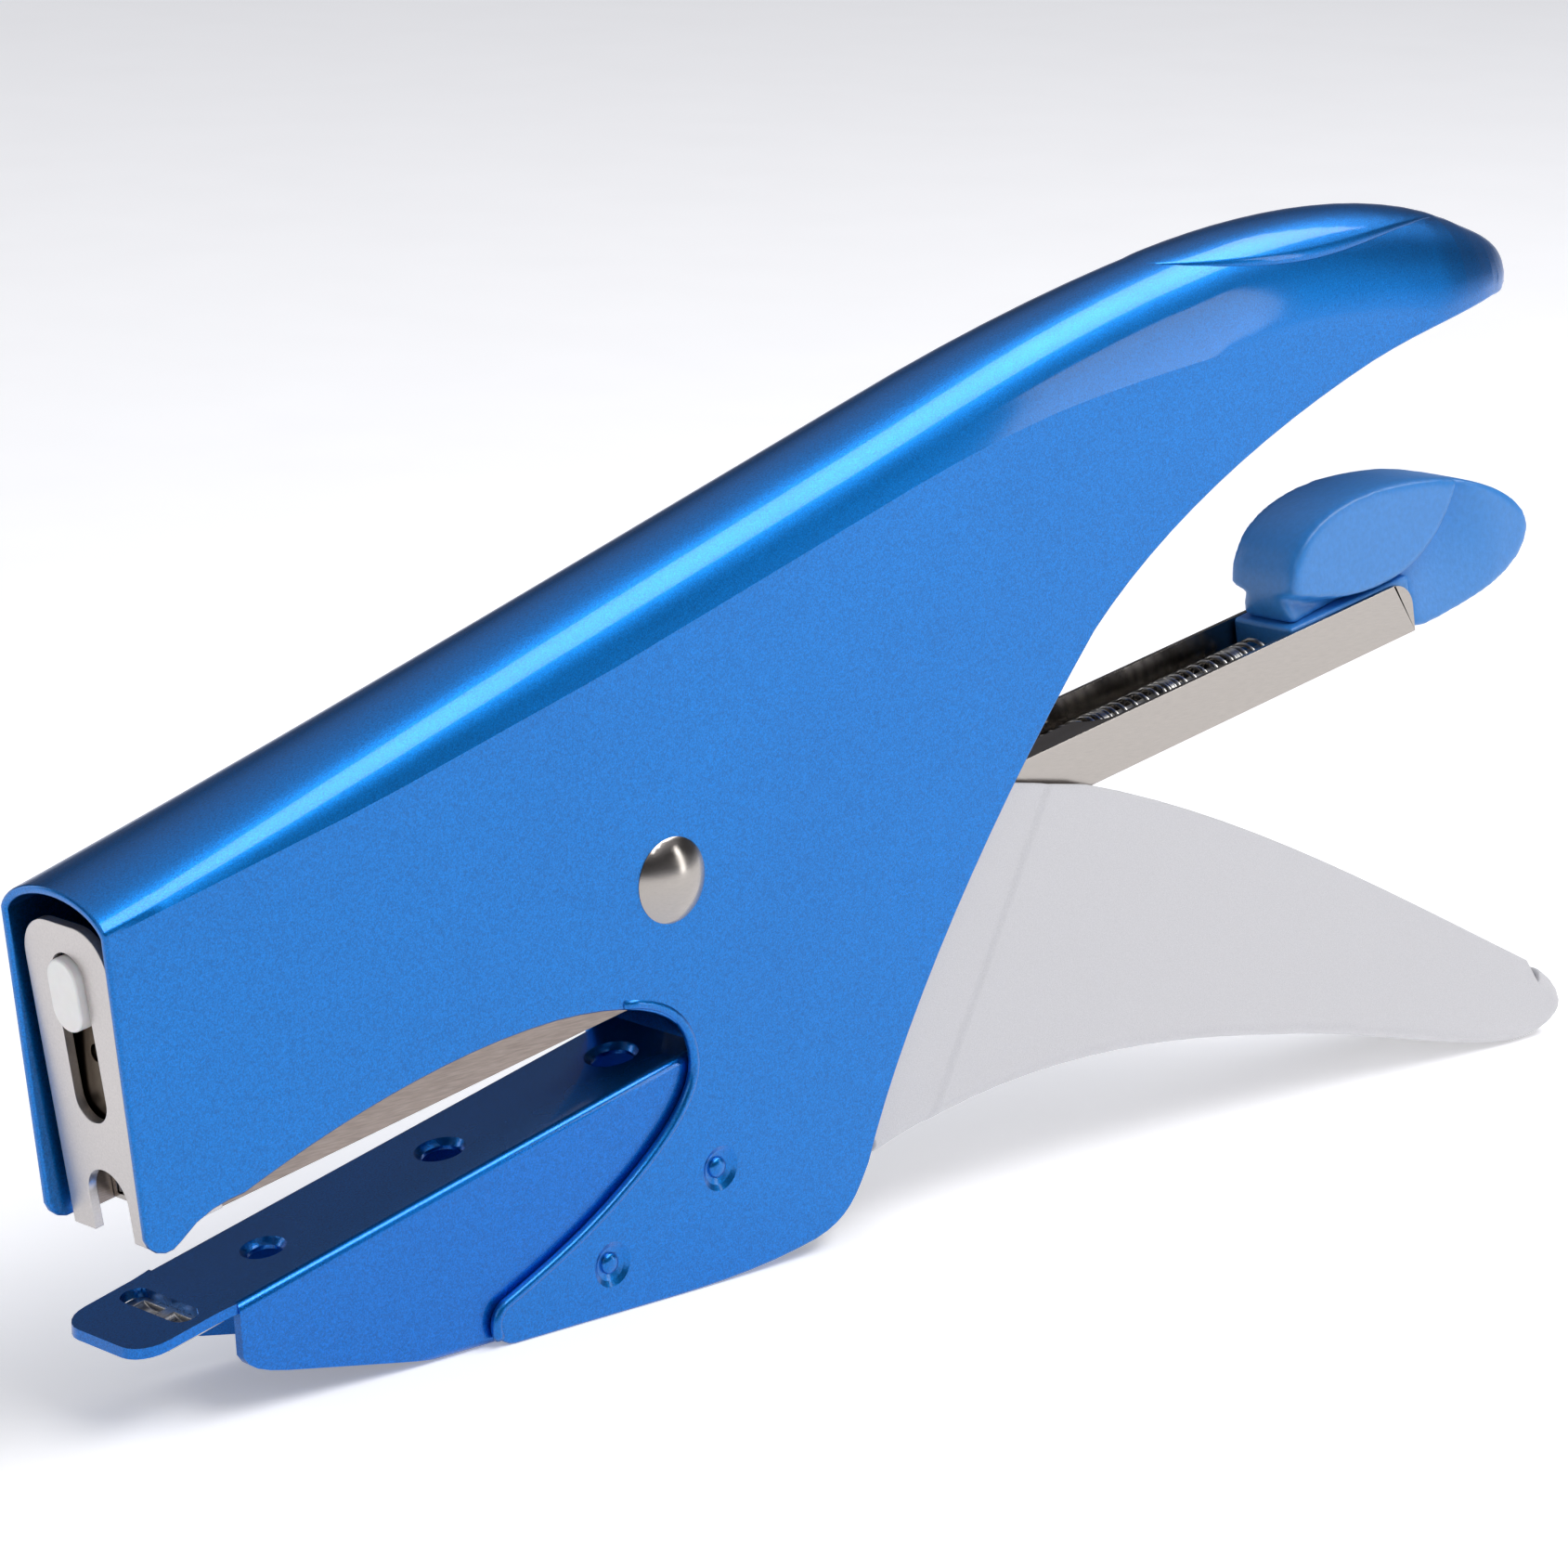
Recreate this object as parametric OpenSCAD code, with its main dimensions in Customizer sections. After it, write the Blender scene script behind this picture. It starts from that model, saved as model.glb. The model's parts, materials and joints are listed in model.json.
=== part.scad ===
// Stapling pliers: a sheet-metal C frame with a fixed lower jaw, and a lever that swings
// the magazine and the staple driver down on one main rivet.
// Side outlines are drawn in X (towards the handles) and Z (up), measured from the rivet.

/* [Body] */
// Outside width of the sheet-metal body
body_w = 15.5; // [15:0.5:18]
// Thickness of the body's sheet
body_sheet = 0.9; // [0.7:0.1:1]
// Height of the main rivet above the table
pivot_z = 41.5; // [41.5:0.5:44]
// Distance of the main rivet in front of the middle of the object
pivot_x = -35.2; // [-40:0.1:-30]

/* [Magazine] */
// Upward tilt of the magazine towards its rear end
mag_tilt = 10.2; // [9:0.1:11]
// Outside width of the staple channel
channel_w = 9.8; // [9.6:0.1:10]
// Outside height of the staple channel
channel_h = 5.9; // [5.7:0.1:6]
// Length of the loaded strip of staples
strip_len = 50; // [20:1:50]

/* [Lower jaw] */
// Upward slope of the lower jaw's top face
anvil_slope = 13.2; // [12.5:0.1:13.5]
// Radius of the sighting hole nearest to the tip
anvil_hole_r = 2.2; // [1.8:0.1:2.6]

/* [Rivet] */
// Radius of the main rivet's head
rivet_head_r = 4.3; // [3.8:0.1:4.6]
// Height of the main rivet's head above the side plate
rivet_head_h = 1.5; // [1:0.1:1.8]

/* [Hidden] */
$fn = 64;

// Colours
paint_blue = [0.10, 0.45, 0.75];
jaw_blue = [0.08, 0.25, 0.62];
grip_blue = [0.20, 0.48, 0.78];
handle_grey = [0.81, 0.81, 0.81];
nickel = [0.72, 0.71, 0.69];
taupe = [0.55, 0.51, 0.48];
satin_grey = [0.80, 0.79, 0.78];
dark_steel = [0.25, 0.23, 0.20];

// Layers across the width, as distances from the middle plane
shell_out = body_w / 2;
shell_in = shell_out - body_sheet;
lever_sheet = 0.8;
lever_out = shell_in - 0.3;
lever_in = lever_out - lever_sheet;
holder_sheet = 0.55;
holder_out = lever_in - 0.2;
holder_in = holder_out - holder_sheet;
channel_sheet = 0.5;
arm_out = 4.3;
arm_in = 2.3;

// Main rivet and the sleeve on it
rivet_r = 2.5;
bush_in = rivet_r + 0.02;
bush_out = 3.4;
running = 0.05;
turn_bore = bush_out + running;
hub_r = 6.2;

// Magazine, measured from the rivet along and across the magazine
mag_floor = -11.8;
mag_top = mag_floor + channel_h;
channel_front = -59.3;
channel_rear = 110.6;
lid_rear = 60.5;
nose_out = -63.3;
nose_in = -62.3;
nose_half = 6.0;
nose_low = -12.9;
nose_high = 17.4;
nose_rivet_u = nose_in + 4;
nose_rivet_w = -8.5;
nose_rivet_r = 0.7;
slot_half = 2.3;
slot_low = -1.7;
slot_high = 14.6;
arch_half = 2.9;
arch_top = -6.4;
strip_rear = channel_front + strip_len;
rod_w = -8.9;
rod_r = 1.0;
spring_wire_r = 0.25;
pusher_len = 9;
knob_front = 92;

// Driver, swinging on the rivet
driver_out = 62.0;
driver_in = 61.2;
driver_half = 4.2;
driver_low = -5.1;
driver_high = 13.4;

// Sheets of the lower jaw
jaw_out = shell_in - 0.02;
jaw_sheet = 1.0;
jaw_at_pivot = -18.41;
jaw_tip = -62;
clinch_x = -55.3;

// ---- Curves ----

function bezier_point(p, t) =
    pow(1 - t, 3) * p[0] + 3 * pow(1 - t, 2) * t * p[1] + 3 * (1 - t) * t * t * p[2] + pow(t, 3) * p[3];

// Points of a cubic curve, without its first point
function curve(p0, p1, p2, p3, n = 8) = [for (i = [1:n]) bezier_point([p0, p1, p2, p3], i / n)];

// Points of an arc from angle a to angle b
function arc(centre, r, a, b, n = 6) =
    [for (i = [0:n]) let (t = a + (b - a) * i / n) centre + r * [cos(t), sin(t)]];

// ---- Placing ----

module at_rivet() {
    translate([pivot_x, 0, pivot_z]) children();
}

module along_magazine() {
    at_rivet() rotate([0, -mag_tilt, 0]) children();
}

// A side outline made into a slab between two distances across the width
module slab(y_low, y_high) {
    translate([0, y_high, 0]) rotate([90, 0, 0]) linear_extrude(y_high - y_low) children();
}

module both_sides() {
    children();
    mirror([0, 1, 0]) children();
}

// A round bar across the width, centred on the middle plane
module cross_bar(x, z, r, half) {
    translate([x, 0, z]) rotate([90, 0, 0]) cylinder(r = r, h = 2 * half, center = true);
}

// ---- Body ----

hood_front = [-66.5, 9.3];
crown_points = concat(
    [hood_front, [39, 43.5]],
    curve([39, 43.5], [52, 47.6], [63, 50.2], [73.5, 52.2], 6),
    curve([73.5, 52.2], [89, 55.4], [108, 56.2], [121, 50.5], 10));
under_points = concat(
    arc([-60.1, -21.3], 2.3, 175, 315),
    curve([-58.5, -22.9], [-56, -20.6], [-53.5, -20.2], [-51.3, -19.9], 4),
    curve([-51.3, -19.9], [-42, -16.2], [-28, -11.6], [-14.4, -11.1]),
    curve([-14.4, -11.1], [-4, -10.9], [2.6, -13.2], [3.2, -18.5]),
    curve([3.2, -18.5], [3.4, -23], [-3.5, -28], [-8.7, -31.3]),
    curve([-8.7, -31.3], [-12.5, -33.7], [-16.5, -35.5], [-20, -37.1], 4),
    arc([-19.6, -39.3], 2.2, 120, 270),
    [[0, -pivot_z]],
    curve([0, -pivot_z], [8, -pivot_z], [14, -41], [19.4, -39.9], 4),
    curve([19.4, -39.9], [24, -38.8], [25, -36.5], [26.6, -33.5], 6),
    curve([26.6, -33.5], [31, -20], [43, -1], [57.7, 15.9], 10),
    curve([57.7, 15.9], [67, 25], [82, 33], [99.4, 38.8], 10),
    curve([99.4, 38.8], [108, 41.5], [117, 43], [124, 44], 4),
    curve([124, 44], [130.5, 45], [127.5, 49], [121, 50.5], 6));

module shell_outline() {
    polygon(concat(under_points, [for (i = [len(crown_points) - 2:-1:0]) crown_points[i]]));
}

// The folded top, as a band that follows the crown
module crown_band() {
    drop = [0, -1.1];
    polygon(concat(crown_points, [for (i = [len(crown_points) - 1:-1:0]) crown_points[i] + drop]));
}

studs = [[6.4, -29.8], [-7.5, -36.4]];
stud_head_r = 1.7;
stud_shank_r = 1.2;

module body_shell() {
    color(paint_blue) at_rivet() difference() {
        union() {
            both_sides() slab(shell_in, shell_out) shell_outline();
            slab(-shell_in - 0.1, shell_in + 0.1) crown_band();
        }
        cross_bar(0, 0, bush_in, shell_out + 1);
        for (s = studs) cross_bar(s[0], s[1], stud_head_r, shell_out + 1);
    }
}

// ---- Lower jaw ----

function jaw_height(x) = jaw_at_pivot + x * tan(anvil_slope);

// Plan of the jaw's top face, with a slight waist behind its rounded tip
module jaw_plan() {
    corner = 3;
    near = concat(
        arc([jaw_tip + corner, jaw_out - 0.6 - corner], corner, 180, 90),
        curve([jaw_tip + 7, jaw_out - 0.6], [-52, jaw_out - 0.6], [-51, jaw_out], [-48, jaw_out], 5),
        [[5, jaw_out]]);
    polygon(concat(near, [for (i = [len(near) - 1:-1:0]) [near[i][0], -near[i][1]]]));
}

module jaw_wall_outline() {
    polygon(concat(
        [[-51.5, jaw_height(-51.5)]],
        curve([-51.5, -34.5], [-51, -36.6], [-50, -37.2], [-46, -38], 5),
        [[-27.6, -pivot_z + 0.1], [14, -pivot_z + 0.1], [22, -38], [23, -33], [5, jaw_height(5)]]));
}

module jaw_hole(x, r) {
    cone_h = 0.6;
    translate([x, 0, jaw_height(x)]) rotate([0, -anvil_slope, 0]) {
        cylinder(r = r - cone_h, h = 6, center = true);
        translate([0, 0, -cone_h]) cylinder(r1 = r - cone_h, r2 = r + 0.01, h = cone_h + 0.01);
    }
}

module clinch_slot() {
    slot_r = 1.4;
    reach = 3.6;
    translate([clinch_x, 0, jaw_height(clinch_x)]) rotate([0, -anvil_slope, 0]) {
        for (side = [-1, 1]) translate([0, side * reach, 0]) cylinder(r = slot_r, h = 6, center = true);
        cube([2 * slot_r, 2 * reach, 6], center = true);
    }
}

module anvil_arm() {
    color(jaw_blue) at_rivet() difference() {
        union() {
            intersection() {
                slab(-jaw_out, jaw_out) polygon([
                    [jaw_tip, jaw_height(jaw_tip)], [5, jaw_height(5)],
                    [5, jaw_height(5) - jaw_sheet], [jaw_tip, jaw_height(jaw_tip) - jaw_sheet]]);
                translate([0, 0, -60]) linear_extrude(60) jaw_plan();
            }
            both_sides() slab(jaw_out - jaw_sheet, jaw_out) jaw_wall_outline();
        }
        jaw_hole(-43.4, anvil_hole_r);
        jaw_hole(-22.3, anvil_hole_r + 0.3);
        jaw_hole(-0.8, anvil_hole_r + 0.5);
        clinch_slot();
        for (s = studs) cross_bar(s[0], s[1], stud_shank_r, shell_out + 1);
    }
}

module anvil_insert() {
    length = 6.4;
    half = 5;
    thick = 0.9;
    top = -jaw_sheet * cos(anvil_slope) - 0.02;
    groove_r = 2.2;
    color(nickel) at_rivet()
        translate([clinch_x, 0, jaw_height(clinch_x)]) rotate([0, -anvil_slope, 0]) difference() {
            translate([-length / 2, -half, top - thick]) cube([length, 2 * half, thick]);
            for (side = [-1, 1]) translate([0, side * 2.2, top + groove_r - 0.7])
                rotate([0, 90, 0]) cylinder(r = groove_r, h = 1.8, center = true);
        }
}

module clinch_studs() {
    color(paint_blue) at_rivet() both_sides() for (s = studs) translate([s[0], 0, s[1]]) rotate([-90, 0, 0])
        rotate_extrude() polygon([
            [0, jaw_out - jaw_sheet - 0.2], [stud_shank_r - 0.01, jaw_out - jaw_sheet - 0.2],
            [stud_shank_r - 0.01, shell_in], [stud_head_r - 0.01, shell_in],
            [stud_head_r - 0.01, shell_out - 0.35], [stud_shank_r, shell_out - 0.35],
            [stud_shank_r, shell_out], [0, shell_out]]);
}

// ---- Main rivet and the parts on it ----

module main_rivet() {
    dome_r = (rivet_head_r * rivet_head_r + rivet_head_h * rivet_head_h) / (2 * rivet_head_h);
    dome_y = shell_out + rivet_head_h - dome_r;
    color(nickel) at_rivet() {
        cross_bar(0, 0, rivet_r, shell_out + 0.1);
        both_sides() intersection() {
            translate([0, dome_y, 0]) sphere(r = dome_r, $fn = 96);
            translate([0, shell_out, 0]) rotate([-90, 0, 0])
                cylinder(r = rivet_head_r, h = rivet_head_h + 1);
        }
    }
}

module pivot_bush() {
    color(nickel) at_rivet() difference() {
        cross_bar(0, 0, bush_out, shell_in);
        cross_bar(0, 0, bush_in, shell_in + 1);
    }
}

module pivot_washers() {
    gap = 0.03;
    color(nickel) at_rivet() both_sides() difference() {
        translate([0, lever_out + gap, 0]) rotate([-90, 0, 0])
            cylinder(r = 5.5, h = shell_in - lever_out - 2 * gap);
        cross_bar(0, 0, bush_out + 0.01, shell_in + 1);
    }
}

stop_pin_place = [15.5, -20];
stop_pin_r = 1.5;
spring_pin_place = [5.9, 13];
spring_pin_r = 1.2;
arm_pocket_r = 9.4;

module stop_pin() {
    color(nickel) at_rivet() cross_bar(stop_pin_place[0], stop_pin_place[1], stop_pin_r, shell_in);
}

module spring_pin() {
    color(nickel) at_rivet() cross_bar(spring_pin_place[0], spring_pin_place[1], spring_pin_r, shell_in);
}

module return_spring() {
    wire_r = 0.4;
    leg_r = 0.3;
    coil_r = 4.1;
    turns = 4;
    pitch = 2 * wire_r + 0.1;
    first = -pitch * (turns - 1) / 2;
    tie_angle = 30;
    pin_angle = atan2(spring_pin_place[1], spring_pin_place[0]);
    pin_reach = norm(spring_pin_place) - spring_pin_r - 0.03;
    arm_reach = arm_pocket_r - 0.1;
    color(nickel) at_rivet() union() {
        for (i = [0:turns - 1]) translate([0, first + i * pitch, 0])
            rotate([90, 0, 0]) rotate_extrude() translate([coil_r, 0]) circle(r = wire_r, $fn = 16);
        // Straight tie that stands for the rise of the coils
        rotate([0, tie_angle, 0]) translate([coil_r, 0, 0]) rotate([90, 0, 0])
            cylinder(r = leg_r, h = -2 * first, center = true, $fn = 16);
        // Legs, one to the spring pin and one into the driver arm
        translate([0, first, 0]) rotate([0, -pin_angle, 0]) translate([coil_r, 0, 0])
            rotate([0, 90, 0]) cylinder(r = leg_r, h = pin_reach - coil_r, $fn = 16);
        translate([0, -first, 0]) rotate([0, 180 - mag_tilt, 0]) translate([coil_r, 0, 0])
            rotate([0, 90, 0]) cylinder(r = leg_r, h = arm_reach - coil_r, $fn = 16);
    }
}

// ---- Lever ----

handle_top = concat(
    curve([0, 7.5], [16, 8], [36, 3.4], [58.1, -0.3]),
    curve([58.1, -0.3], [82, -7], [108, -21], [130, -32], 10),
    curve([130, -32], [141, -37], [138, -41.8], [128.4, -pivot_z], 8));
handle_bottom = concat(
    [[128.4, -pivot_z]],
    curve([128.4, -pivot_z], [116, -39.8], [104, -35.2], [88, -32.8]),
    curve([88, -32.8], [72, -29.8], [50, -27.2], [28.9, -33.6]));
handle_front = concat(
    [[27.5, -31], [hub_r * cos(-50), hub_r * sin(-50)]],
    arc([0, 0], hub_r, -60, -240, 8));

module handle_web() {
    rise = [0, lever_sheet + 0.1];
    polygon(concat(handle_bottom, [for (i = [len(handle_bottom) - 1:-1:0]) handle_bottom[i] + rise]));
}

arm_pin_r = 1.4;
arm_pin_places = [[11, 2.6], [11, -2.6]];

module lower_handle() {
    color(handle_grey) at_rivet() difference() {
        union() {
            both_sides() slab(lever_in, lever_out)
                polygon(concat(handle_top, handle_bottom, handle_front));
            slab(-lever_in - 0.1, lever_in + 0.1) handle_web();
        }
        cross_bar(0, 0, turn_bore, shell_out);
        rotate([0, -mag_tilt, 0]) for (p = arm_pin_places) cross_bar(p[0], p[1], arm_pin_r, shell_out);
    }
}

clamp_spring_u = -32;
clamp_pocket_r = 2.3;
clamp_pocket_top = 8;
blade_rivet_w = [4.5, 10];
blade_rivet_r = 0.8;

// Side outline of the driver arm, with its spring gap and its solid front
module arm_outline() {
    polygon(concat(
        [[-60.2, 12.8], [-60.2, 2.6], [-36, -1], [-12, -3.4], [0, -4.8]],
        [[13, -5.2], [15, -2], [15, 3], [12, 5.5], [0, 6.2], [-10, 7.5], [-36, 11.5]]));
}

// Bars along the magazine where the two blade rivets sit, with their rear ends in the arm
module blade_rivet_bars(r, length) {
    for (w = blade_rivet_w) translate([-50, 0, w]) rotate([0, -90, 0]) cylinder(r = r, h = length);
}

module driver_arm() {
    color(taupe) along_magazine() difference() {
        slab(-arm_out, arm_out) arm_outline();
        cross_bar(0, 0, turn_bore, shell_out);
        slab(-arm_in, arm_in) circle(r = arm_pocket_r);
        slab(-arm_in, arm_in) polygon([[0, -9], [20, -9], [20, 9], [0, 9]]);
        translate([clamp_spring_u, 0, mag_top])
            cylinder(r = clamp_pocket_r, h = clamp_pocket_top - mag_top);
        slab(-shell_out, shell_out) difference() {
            translate([-driver_out - 3, -20]) square([8, 50]);
            circle(r = driver_in - 0.02, $fn = 256);
        }
        for (p = arm_pin_places) cross_bar(p[0], p[1], arm_pin_r, shell_out);
        blade_rivet_bars(blade_rivet_r, 20);
    }
}

module arm_pins() {
    color(nickel) along_magazine()
        for (p = arm_pin_places) cross_bar(p[0], p[1], arm_pin_r - 0.01, lever_out);
}

// A plate bent to a circle around the rivet, between two angles above the magazine's line
module swung_plate(r_in, r_out, half, low, high) {
    points = concat(
        [for (i = [0:12]) let (t = 180 - low - (high - low) * i / 12) r_out * [cos(t), sin(t)]],
        [for (i = [12:-1:0]) let (t = 180 - low - (high - low) * i / 12) r_in * [cos(t), sin(t)]]);
    slab(-half, half) polygon(points);
}

module driver_blade() {
    color(dark_steel) along_magazine() difference() {
        swung_plate(driver_in, driver_out, driver_half, driver_low, driver_high);
        blade_rivet_bars(blade_rivet_r, 20);
    }
}

module blade_rivets() {
    color(nickel) along_magazine() blade_rivet_bars(blade_rivet_r - 0.01, 10.9);
}

guide_half = 2.1;
guide_low = 7.3;
guide_high = 14.3;

module driver_guide() {
    face = -64.1;
    color("white") along_magazine() difference() {
        intersection() {
            translate([face, -guide_half, guide_low]) cube([4, 2 * guide_half, guide_high - guide_low]);
            hull() for (w = [guide_low + guide_half, guide_high - guide_half])
                translate([-70, 0, w]) rotate([0, 90, 0]) cylinder(r = guide_half, h = 12, $fn = 32);
        }
        slab(-shell_out, shell_out) circle(r = driver_out + 0.03, $fn = 256);
    }
}

// ---- Magazine ----

module holder_cheek() {
    polygon(concat(
        [[nose_in, mag_floor - 0.1], [nose_in, mag_top + 1.5], [-20, mag_top + 1.5]],
        arc([0, 0], hub_r - 0.4, 200, 0, 10),
        [[hub_r - 0.4, mag_top + 1], [16, mag_top + 1.5], [40, mag_top], [40, mag_floor + 0.3]]));
}

module magazine_holder() {
    color(taupe) along_magazine() difference() {
        both_sides() slab(holder_in, holder_out) holder_cheek();
        cross_bar(0, 0, turn_bore, shell_out);
        slab(-shell_out, shell_out) polygon([[6.6, -4.5], [16, -4.3], [16, 8], [6.6, 8]]);
        cross_bar(nose_rivet_u, nose_rivet_w, nose_rivet_r, shell_out);
    }
}

module holder_bridge() {
    color(taupe) along_magazine() translate([22, -holder_in, mag_top])
        cube([8, 2 * holder_in, 0.5]);
}

module nose_plate() {
    tab = 7;
    corner = 4;
    deep = nose_in - nose_out + 2;
    color(satin_grey) along_magazine() difference() {
        union() {
            translate([nose_out, -nose_half, nose_low])
                cube([nose_in - nose_out, 2 * nose_half, nose_high - nose_low]);
            both_sides() translate([nose_in - 0.1, holder_out + 0.02, mag_floor])
                cube([tab, 0.35, channel_h]);
        }
        // Rounded upper corners
        both_sides() translate([nose_out - 1, nose_half - corner, nose_high - corner]) difference() {
            cube([deep, corner + 1, corner + 1]);
            rotate([0, 90, 0]) cylinder(r = corner, h = deep);
        }
        // Slot for the driver's guide
        translate([nose_out - 1, -slot_half, slot_low + slot_half])
            cube([deep, 2 * slot_half, slot_high - slot_low - 2 * slot_half]);
        for (w = [slot_low + slot_half, slot_high - slot_half])
            translate([nose_out - 1, 0, w]) rotate([0, 90, 0]) cylinder(r = slot_half, h = deep);
        // Arch over the staple's way out
        translate([nose_out - 1, -arch_half, nose_low - 1])
            cube([deep, 2 * arch_half, arch_top - arch_half - nose_low + 1]);
        translate([nose_out - 1, 0, arch_top - arch_half]) rotate([0, 90, 0])
            cylinder(r = arch_half, h = deep);
        cross_bar(nose_rivet_u, nose_rivet_w, nose_rivet_r, shell_out);
    }
}

module nose_rivets() {
    color(nickel) along_magazine() both_sides()
        translate([nose_rivet_u, holder_in + 0.02, nose_rivet_w]) rotate([-90, 0, 0])
            cylinder(r = nose_rivet_r - 0.01, h = 1.1);
}

module magazine_channel() {
    half = channel_w / 2;
    inner = half - channel_sheet;
    slit = 1.6;
    length = channel_rear - channel_front;
    color(nickel) along_magazine() difference() {
        translate([channel_front, -half, mag_floor]) cube([length, channel_w, channel_h]);
        // Inside of the channel
        translate([channel_front - 1, -inner, mag_floor + channel_sheet])
            cube([length + 2, 2 * inner, channel_h - 2 * channel_sheet]);
        // Slit between the folded top edges
        translate([channel_front - 1, -slit, mag_top - 2]) cube([length + 2, 2 * slit, 3]);
        // Open rear part, with a rounded end to the folded edges
        translate([lid_rear + inner, -inner, mag_top - 2]) cube([channel_rear - lid_rear, 2 * inner, 3]);
        translate([lid_rear + inner, 0, mag_top - 2]) cylinder(r = inner, h = 3);
        // Notch for the knob's detent tab
        translate([knob_front + 5, -2.6, mag_floor - 1]) cube([channel_rear, 5.2, 2]);
        // Rounded upper rear corners
        translate([channel_rear - 3, -half - 1, mag_top - 3]) difference() {
            cube([4, channel_w + 2, 4]);
            rotate([-90, 0, 0]) cylinder(r = 3, h = channel_w + 2);
        }
    }
}

rail_half = 3.6;
rail_sheet = 0.4;

module staple_rail() {
    length = strip_rear - channel_front;
    height = channel_h - 2 * channel_sheet - 0.8;
    color(dark_steel) along_magazine() difference() {
        translate([channel_front, -rail_half, mag_floor + channel_sheet])
            cube([length, 2 * rail_half, height]);
        translate([channel_front - 1, -rail_half + rail_sheet, mag_floor + channel_sheet - 1])
            cube([length + 2, 2 * rail_half - 2 * rail_sheet, height + 1 - rail_sheet]);
    }
}

// The glued strip of staples, astride the rail
module staple_strip() {
    out = 4.3;
    wire = 0.5;
    low = mag_floor + channel_sheet + 0.1;
    high = mag_top - channel_sheet - 0.08;
    color(nickel) along_magazine() difference() {
        translate([channel_front + 0.1, -out, low]) cube([strip_len - 0.3, 2 * out, high - low]);
        translate([channel_front - 1, -out + wire, low - 1])
            cube([strip_len + 2, 2 * (out - wire), high - low + 1 - wire]);
    }
}

module clamp_spring() {
    wire_r = 0.3;
    coil_r = 1.7;
    turns = 8;
    low = mag_top + wire_r;
    pitch = (clamp_pocket_top - mag_top - 2 * wire_r) / (turns - 1);
    color(nickel) along_magazine() union() {
        for (i = [0:turns - 1]) translate([clamp_spring_u, 0, low + i * pitch])
            rotate_extrude() translate([coil_r, 0]) circle(r = wire_r, $fn = 16);
        // Straight tie that stands for the rise of the coils
        translate([clamp_spring_u + coil_r, 0, low])
            cylinder(r = wire_r * 0.8, h = pitch * (turns - 1), $fn = 16);
    }
}

// ---- Loading slide ----

collar_seat = 6;
collar_r = 1.5;
collar_len = 1.5;

module guide_rod() {
    front = strip_rear - 40;
    color(nickel) along_magazine() translate([front, 0, rod_w]) rotate([0, 90, 0])
        cylinder(r = rod_r, h = knob_front + collar_seat - front);
}

module rod_collar() {
    color(nickel) along_magazine() translate([knob_front + collar_seat + 0.05, 0, rod_w]) rotate([0, 90, 0])
        cylinder(r = collar_r, h = collar_len);
}

seat = channel_rear + 0.4;
grip_low = mag_top + 0.05;
grip_outline = concat(
    [[seat, grip_low], [knob_front + 1, grip_low]],
    curve([knob_front + 1, grip_low], [91, 0], [93.5, 6.2], [107, 5.3], 8),
    curve([107, 5.3], [119.6, 4.3], [132.7, -2.1], [131.1, -6.9], 8),
    curve([131.1, -6.9], [129.7, -11.1], [121.8, -12], [113.1, -12.4], 6),
    [[seat, mag_floor]]);

module loading_knob() {
    grip_half = 5;
    foot_half = 4.2;
    foot_low = mag_floor + channel_sheet + 0.05;
    color(grip_blue) along_magazine() difference() {
        union() {
            slab(-grip_half, grip_half) polygon(grip_outline);
            translate([knob_front, -foot_half, foot_low])
                cube([seat - knob_front + 1, 2 * foot_half, grip_low - foot_low + 1]);
            // Detent tab below the channel
            translate([knob_front + collar_seat, -2.4, mag_floor - 1.3]) cube([6, 4.8, 3]);
        }
        translate([knob_front - 1, 0, rod_w]) rotate([0, 90, 0])
            cylinder(r = rod_r + 0.02, h = collar_seat + 1.02);
        translate([knob_front + collar_seat, 0, rod_w]) rotate([0, 90, 0])
            cylinder(r = collar_r + 0.02, h = collar_len + 0.1);
    }
}

module pusher_spring() {
    start = strip_rear + pusher_len + 0.1;
    spring_in = rod_r + 0.7;
    color(nickel) along_magazine() translate([start, 0, rod_w]) rotate([0, 90, 0]) difference() {
        cylinder(r = spring_in + 2 * spring_wire_r, h = knob_front - start - 0.1);
        translate([0, 0, -1]) cylinder(r = spring_in, h = knob_front - start + 2);
    }
}

module staple_pusher() {
    half = 4.2;
    low = mag_floor + channel_sheet + 0.1;
    high = mag_top - channel_sheet - 0.1;
    wall = 4;
    clear = 0.15;
    color(dark_steel) along_magazine() difference() {
        translate([strip_rear + 0.1, -half, low]) cube([pusher_len, 2 * half, high - low]);
        // Groove that runs over the rail
        translate([strip_rear - 1, -rail_half - clear, low - 1])
            cube([pusher_len - wall + 1, 2 * (rail_half + clear), high - low + 0.5]);
        translate([strip_rear - 1, 0, rod_w]) rotate([0, 90, 0])
            cylinder(r = rod_r + running, h = pusher_len + 3);
    }
}

body_shell();
anvil_arm();
anvil_insert();
clinch_studs();
main_rivet();
pivot_bush();
pivot_washers();
stop_pin();
spring_pin();
return_spring();
lower_handle();
driver_arm();
arm_pins();
blade_rivets();
driver_blade();
driver_guide();
magazine_holder();
holder_bridge();
nose_plate();
nose_rivets();
magazine_channel();
staple_rail();
staple_strip();
clamp_spring();
guide_rod();
rod_collar();
loading_knob();
pusher_spring();
staple_pusher();
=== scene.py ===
"""Studio picture of a pair of stapling pliers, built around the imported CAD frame.

Side outlines are in millimetres from the main rivet, as (x, z). Magazine parts are in
millimetres along and across the tilted magazine, as (u, w).
"""
import json
import math

import bmesh
import bpy
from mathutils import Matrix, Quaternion, Vector


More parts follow.
